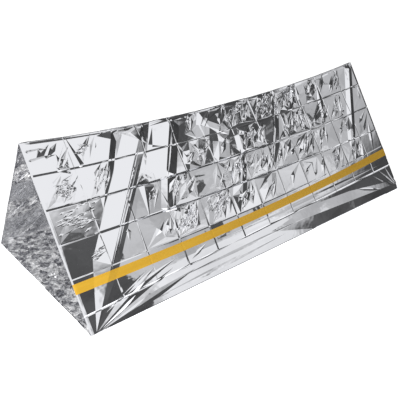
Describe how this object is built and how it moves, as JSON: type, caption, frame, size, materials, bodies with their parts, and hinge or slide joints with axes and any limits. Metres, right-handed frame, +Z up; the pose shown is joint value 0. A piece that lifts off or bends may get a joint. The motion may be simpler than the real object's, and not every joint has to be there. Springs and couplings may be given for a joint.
{
  "type": "emergency tent",
  "caption": "Open-ended triangular tube tent of reflective film, lapped and taped along its front wall, with film panels that fold flat on the pack creases when the ridge is let down.",
  "frame": {"origin": "middle of the floor panel's underside, on the ground", "axes": "+X along the ridge to the far end, -Y out through the taped front wall, +Z up to the ridge"},
  "size_m": [2.4, 1.04, 0.7791],
  "materials": {
    "floor_film": "gloss",
    "back_film": "gloss",
    "front_film": "gloss",
    "seam_tape": "satin"
  },
  "bodies": {
    "floor": {"floor_panel": "floor_film"},
    "back_lower": {"back_wall_lower": "back_film"},
    "back_upper": {"back_wall_upper": "back_film"},
    "front_upper": {"front_wall_upper": "front_film", "seam_lap": "front_film", "seam_tape": "seam_tape"},
    "front_lower": {"front_wall_lower": "front_film"}
  },
  "joints": [
    {"name": "back_hem", "type": "hinge", "parent": "floor", "child": "back_lower", "pos_m": [0, 0.52, 0.0005], "axis": [-1, 0, 0], "range_deg": [0, 123.71]},
    {"name": "back_crease", "type": "hinge", "parent": "back_lower", "child": "back_upper", "pos_m": [0, 0.37607, 0.20815], "axis": [1, 0, 0], "range_deg": [0, 173.66]},
    {"name": "ridge", "type": "hinge", "parent": "back_upper", "child": "front_upper", "pos_m": [0, 0, 0.78], "axis": [-1, 0, 0], "range_deg": [0, 100.66]},
    {"name": "front_crease", "type": "hinge", "parent": "front_upper", "child": "front_lower", "pos_m": [0, -0.42746, 0.1311], "axis": [1, 0, 0], "range_deg": [0, 174.41]}
  ],
  "couplings": [
    {"joint": "back_crease", "follows": "back_hem", "ratio": 1.4037},
    {"joint": "ridge", "follows": "back_hem", "ratio": 0.81363},
    {"joint": "front_crease", "follows": "back_hem", "ratio": 1.4099}
  ]
}
